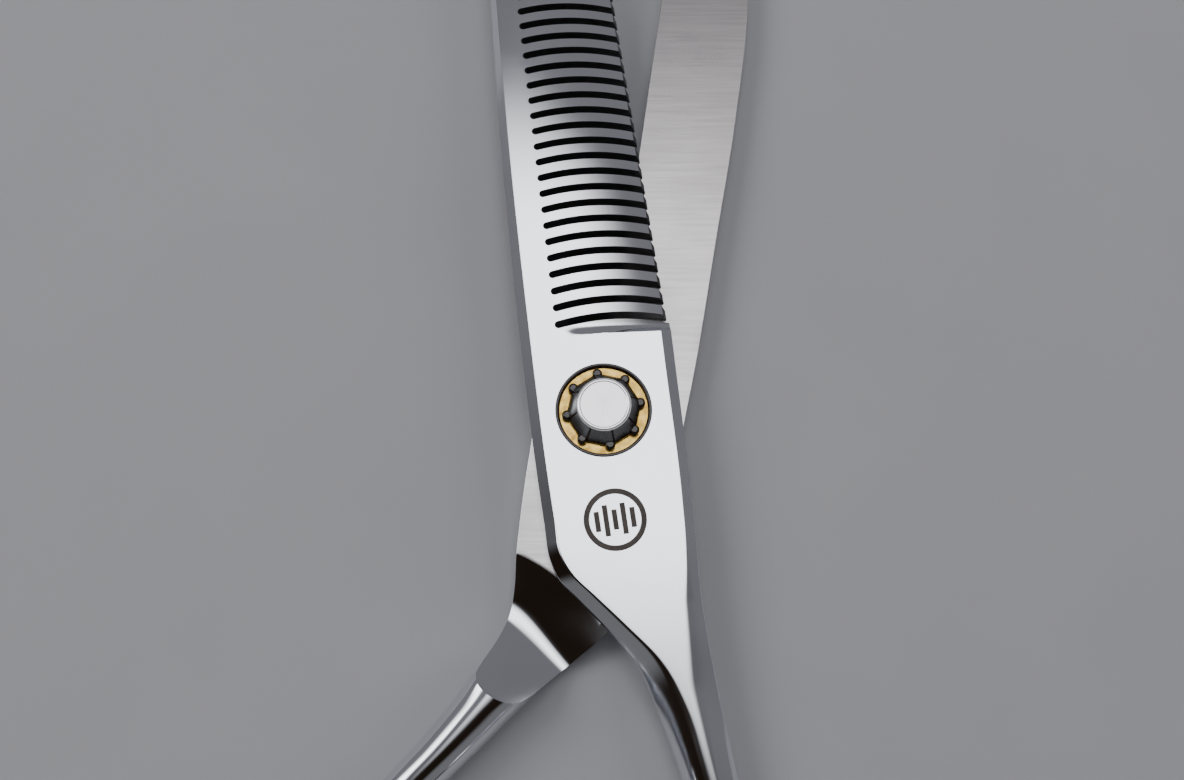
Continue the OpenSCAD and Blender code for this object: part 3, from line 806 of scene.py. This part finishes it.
def finger_rest():
    """Tapered curl that screws into the finger ring: a collar, a neck and a blunt tip."""
    curve = np.array([(0.0, 0.0), (6.8, 0.6), (11.9, 2.2), (16.5, 6.3)])
    root_r, taper, collar, blunt = 2.05, 1.1, 0.12, 0.94
    rings, around = 60, 40
    points = []
    for i in range(rings + 1):
        t = i / rings
        c = ((1 - t) ** 3 * curve[0] + 3 * (1 - t) ** 2 * t * curve[1] + 3 * (1 - t) * t * t * curve[2]
             + t ** 3 * curve[3])
        d = ((1 - t) ** 2 * (curve[1] - curve[0]) + 2 * (1 - t) * t * (curve[2] - curve[1])
             + t * t * (curve[3] - curve[2]))
        d /= np.linalg.norm(d)
        r = root_r - taper * ramp(t, -0.1, 1.1)
        r += collar * (1 - ramp(t, 0.04, 0.1))
        if t > blunt:
            r *= math.sqrt(max(0.02, 1 - ((t - blunt) / (1 - blunt)) ** 2))
        for j in range(around):
            a = 2 * math.pi * j / around
            u = r * math.cos(a)
            # the rest is built up Z: the curve's length runs along Z and its rise along Y
            points.append((-r * math.sin(a), c[1] + u * d[0], c[0] - u * d[1]))
    rest = fix_normals(mesh_object("finger_rest_curl", points, tube_faces(rings + 1, around)))
    centre = to_own(mounts["finger_hole"]["pos_m"], HALF_TURN)
    base = mounts["finger_hole"]["dims"]["r_mm"] + RING_W + SEAT_GAP
    lay_along(rest, centre, base, math.radians(-72), HALF_TURN)
    finish_surface(rest, 50)
    dress(rest, POLISHED, "toothed_side", ["finger_rest"])


def bumper():
    """Rubber stop between the rings, with a foot and a domed end. It points at the place where the finger
    ring's centre, seen from the plain half, comes when the shears close."""
    closed = math.radians(5.2)
    finger = to_own(mounts["finger_hole"]["pos_m"], HALF_TURN)
    thumb = to_own(mounts["thumb_hole"]["pos_m"], -HALF_TURN)
    seen = np.array([finger[0] * math.cos(closed) - finger[1] * math.sin(closed),
                     finger[0] * math.sin(closed) + finger[1] * math.cos(closed)])
    way = seen - thumb
    base = mounts["thumb_hole"]["dims"]["r_mm"] + RING_W + SEAT_GAP
    stop_gap, foot_r, foot_l, r = 0.3, 2.38, 0.7, 2.08
    length = np.linalg.norm(way) - mounts["finger_hole"]["dims"]["r_mm"] - RING_W - stop_gap - base
    profile = soft_profile([(0.0, 0.0), (foot_r, 0.0), (foot_r, foot_l), (r, foot_l + 0.1), (r, length),
                            (0.0, length)], (0, 0.15, 0.2, 0.2, 0.9, 0), 8)
    stop = lathe("rubber_stop", profile, 64)
    lay_along(stop, thumb, base, math.atan2(way[1], way[0]), -HALF_TURN)
    finish_surface(stop, 50)
    dress(stop, RUBBER, "plain_side", ["bumper"])


def etched_mark():
    """Plain ornament below the dial: a ring around a row of comb bars. It is etched, so it's barely proud."""
    x0, y0 = to_own((1.1 * MM, -11.1 * MM), HALF_TURN)
    outer, inner, bars, spacing = 3.1, 2.55, 5, 0.88
    width, long_half, short_half = 0.26, 1.55, 1.0
    top, low = TOP_Z + 0.006, TOP_Z - 0.03
    parts = [lathe("ring", [(inner, low), (outer, low), (outer, top), (inner, top)], 96, (x0, y0), HALF_TURN)]
    for i in range(bars):
        x = x0 + (i - (bars - 1) / 2) * spacing
        half = long_half if i % 2 else short_half
        outline = [(x - width, y0 - half), (x + width, y0 - half),
                   (x + width, y0 + half), (x - width, y0 + half)]
        parts.append(extruded("bar", outline, low, top, HALF_TURN))
    mark = joined("etched_mark", parts)
    dress(mark, ETCH, "toothed_side")


def dress_cad_pieces():
    """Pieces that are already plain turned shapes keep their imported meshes."""
    for node, material in (("click_ring", GOLD), ("dial_insert", GOLD), ("bumper_stud", GOLD),
                           ("pivot_bush", BRONZE), ("blade_washer", NYLON), ("slide_washer", NYLON),
                           ("pivot_bolt", TURNED), ("wave_spring", TURNED), ("retaining_screw", TURNED),
                           ("finger_rest_stud", TURNED)):
        obj = frame["nodes"][node]
        obj.data.materials.clear()
        obj.data.materials.append(material)


# ---------------------------------------------------------------- camera, light and floor

def camera():
    """The camera stands over the handles and looks down at the pivot, tilted towards the tips."""
    data = bpy.data.cameras.new("camera")
    data.sensor_width = 36.0
    data.lens = 38.919
    data.clip_start = 0.005
    obj = bpy.data.objects.new("camera", data)
    obj.location = (-1.17 * MM, -33.39 * MM, 129.58 * MM)
    obj.rotation_euler = (math.radians(16), 0, 0)
    bpy.context.scene.collection.objects.link(obj)
    bpy.context.scene.camera = obj


def softbox(name, location, aim, size, power, fades, colours, mirrored_too=True):
    """Rectangular light that fades towards its edges: fades gives the shares of the width and of the
    height that the low and the high side take to fade, and colours the tint from side to side. One that
    isn't mirrored lights the floor but leaves no glint on the metal."""
    data = bpy.data.lights.new(name, "AREA")
    data.shape = "RECTANGLE"
    data.size, data.size_y = size
    data.energy = power
    data.use_nodes = True
    tree = data.node_tree
    emission = next(n for n in tree.nodes if n.type == "EMISSION")
    geometry = tree.nodes.new("ShaderNodeNewGeometry")
    split = tree.nodes.new("ShaderNodeSeparateXYZ")
    tree.links.new(geometry.outputs["Parametric"], split.inputs[0])
    last = None
    for axis, (low, high) in enumerate(fades):
        for edge, inward in ((0.0, low), (1.0, 1 - high)):
            side = tree.nodes.new("ShaderNodeMapRange")
            side.interpolation_type = "SMOOTHSTEP"
            side.inputs["From Min"].default_value = edge
            side.inputs["From Max"].default_value = inward
            tree.links.new(split.outputs[axis], side.inputs["Value"])
            if last is None:
                last = side.outputs["Result"]
                continue
            both = tree.nodes.new("ShaderNodeMath")
            both.operation = "MULTIPLY"
            tree.links.new(last, both.inputs[0])
            tree.links.new(side.outputs["Result"], both.inputs[1])
            last = both.outputs[0]
    tree.links.new(last, emission.inputs["Strength"])
    tint = tree.nodes.new("ShaderNodeMix")
    tint.data_type = "RGBA"
    tint.inputs["A"].default_value = (*colours[0], 1)
    tint.inputs["B"].default_value = (*colours[1], 1)
    tree.links.new(split.outputs[0], tint.inputs["Factor"])
    tree.links.new(tint.outputs["Result"], emission.inputs["Color"])
    obj = bpy.data.objects.new(name, data)
    obj.visible_glossy = mirrored_too
    obj.location = Vector(location)
    obj.rotation_euler = (Vector(aim) - Vector(location)).to_track_quat("-Z", "Y").to_euler()
    bpy.context.scene.collection.objects.link(obj)


def room():
    """Surroundings: grey, with a dark brown band above the handles."""
    world = bpy.data.worlds.new("world")
    bpy.context.scene.world = world
    world.use_nodes = True
    tree = world.node_tree
    source = tree.nodes.new("ShaderNodeTexCoord")
    split = tree.nodes.new("ShaderNodeSeparateXYZ")
    place = tree.nodes.new("ShaderNodeMapRange")
    place.inputs["From Min"].default_value = -1
    band = tree.nodes.new("ShaderNodeValToRGB")
    band.color_ramp.interpolation = "EASE"
    grey, dim, brown = (0.19, 0.19, 0.205, 1), (0.17, 0.17, 0.178, 1), (0.014, 0.009, 0.006, 1)
    stops = ((-0.62, dim), (-0.42, brown), (-0.17, brown), (0.24, grey))
    elements = band.color_ramp.elements
    while len(elements) < len(stops):
        elements.new(0.5)
    for element, (y, colour) in zip(elements, stops):
        element.position = (y + 1) / 2
        element.color = colour
    tree.links.new(source.outputs["Generated"], split.inputs[0])
    tree.links.new(split.outputs[1], place.inputs["Value"])
    tree.links.new(place.outputs["Result"], band.inputs["Fac"])
    tree.links.new(band.outputs["Color"], tree.nodes["Background"].inputs["Color"])


def lights():
    """A wide box overhead towards the tips, and one at each side that fills the floor."""
    pink, blue = (1.0, 0.965, 0.97), (0.94, 0.972, 1.0)
    plain = dict(aim=(0, 0, 0), fades=((0.3, 0.3), (0.3, 0.3)), colours=((1, 1, 1), (1, 1, 1)))
    softbox("overhead", location=(0.055, 0.103, 0.42), aim=(0.055, 0.103, 0), size=(0.30, 0.356), power=1.0,
            fades=((0.17, 0.55), (0.42, 0.24)), colours=(blue, pink))
    softbox("left", location=(-0.38, 0.1, 0.4), size=(0.34, 0.44), power=2.2, **plain)
    softbox("right", location=(0.6, 0.1, 0.38), size=(0.5, 0.6), power=2.4, mirrored_too=False, **plain)


def floor():
    """Pale floor just under the shears."""
    n = Nodes("pale_floor")
    colour = n.blend(n.spread(n.noise(60), 0, 1), (0.44, 0.44, 0.468), (0.455, 0.455, 0.483))
    n.link(colour, n.shader.inputs["Base Color"])
    n.shader.inputs["Roughness"].default_value = 0.85
    reach, level = 1500, -0.02
    corners = [(-reach, -reach, level), (reach, -reach, level), (reach, reach, level), (-reach, reach, level)]
    obj = mesh_object("floor", corners, [(0, 1, 2, 3)])
    obj.data.materials.append(n.material)


toothed_half()
plain_half()
bezel_cup()
dial_knob()
cap_disc()
finger_rest()
bumper()
etched_mark()
dress_cad_pieces()
camera()
room()
lights()
floor()
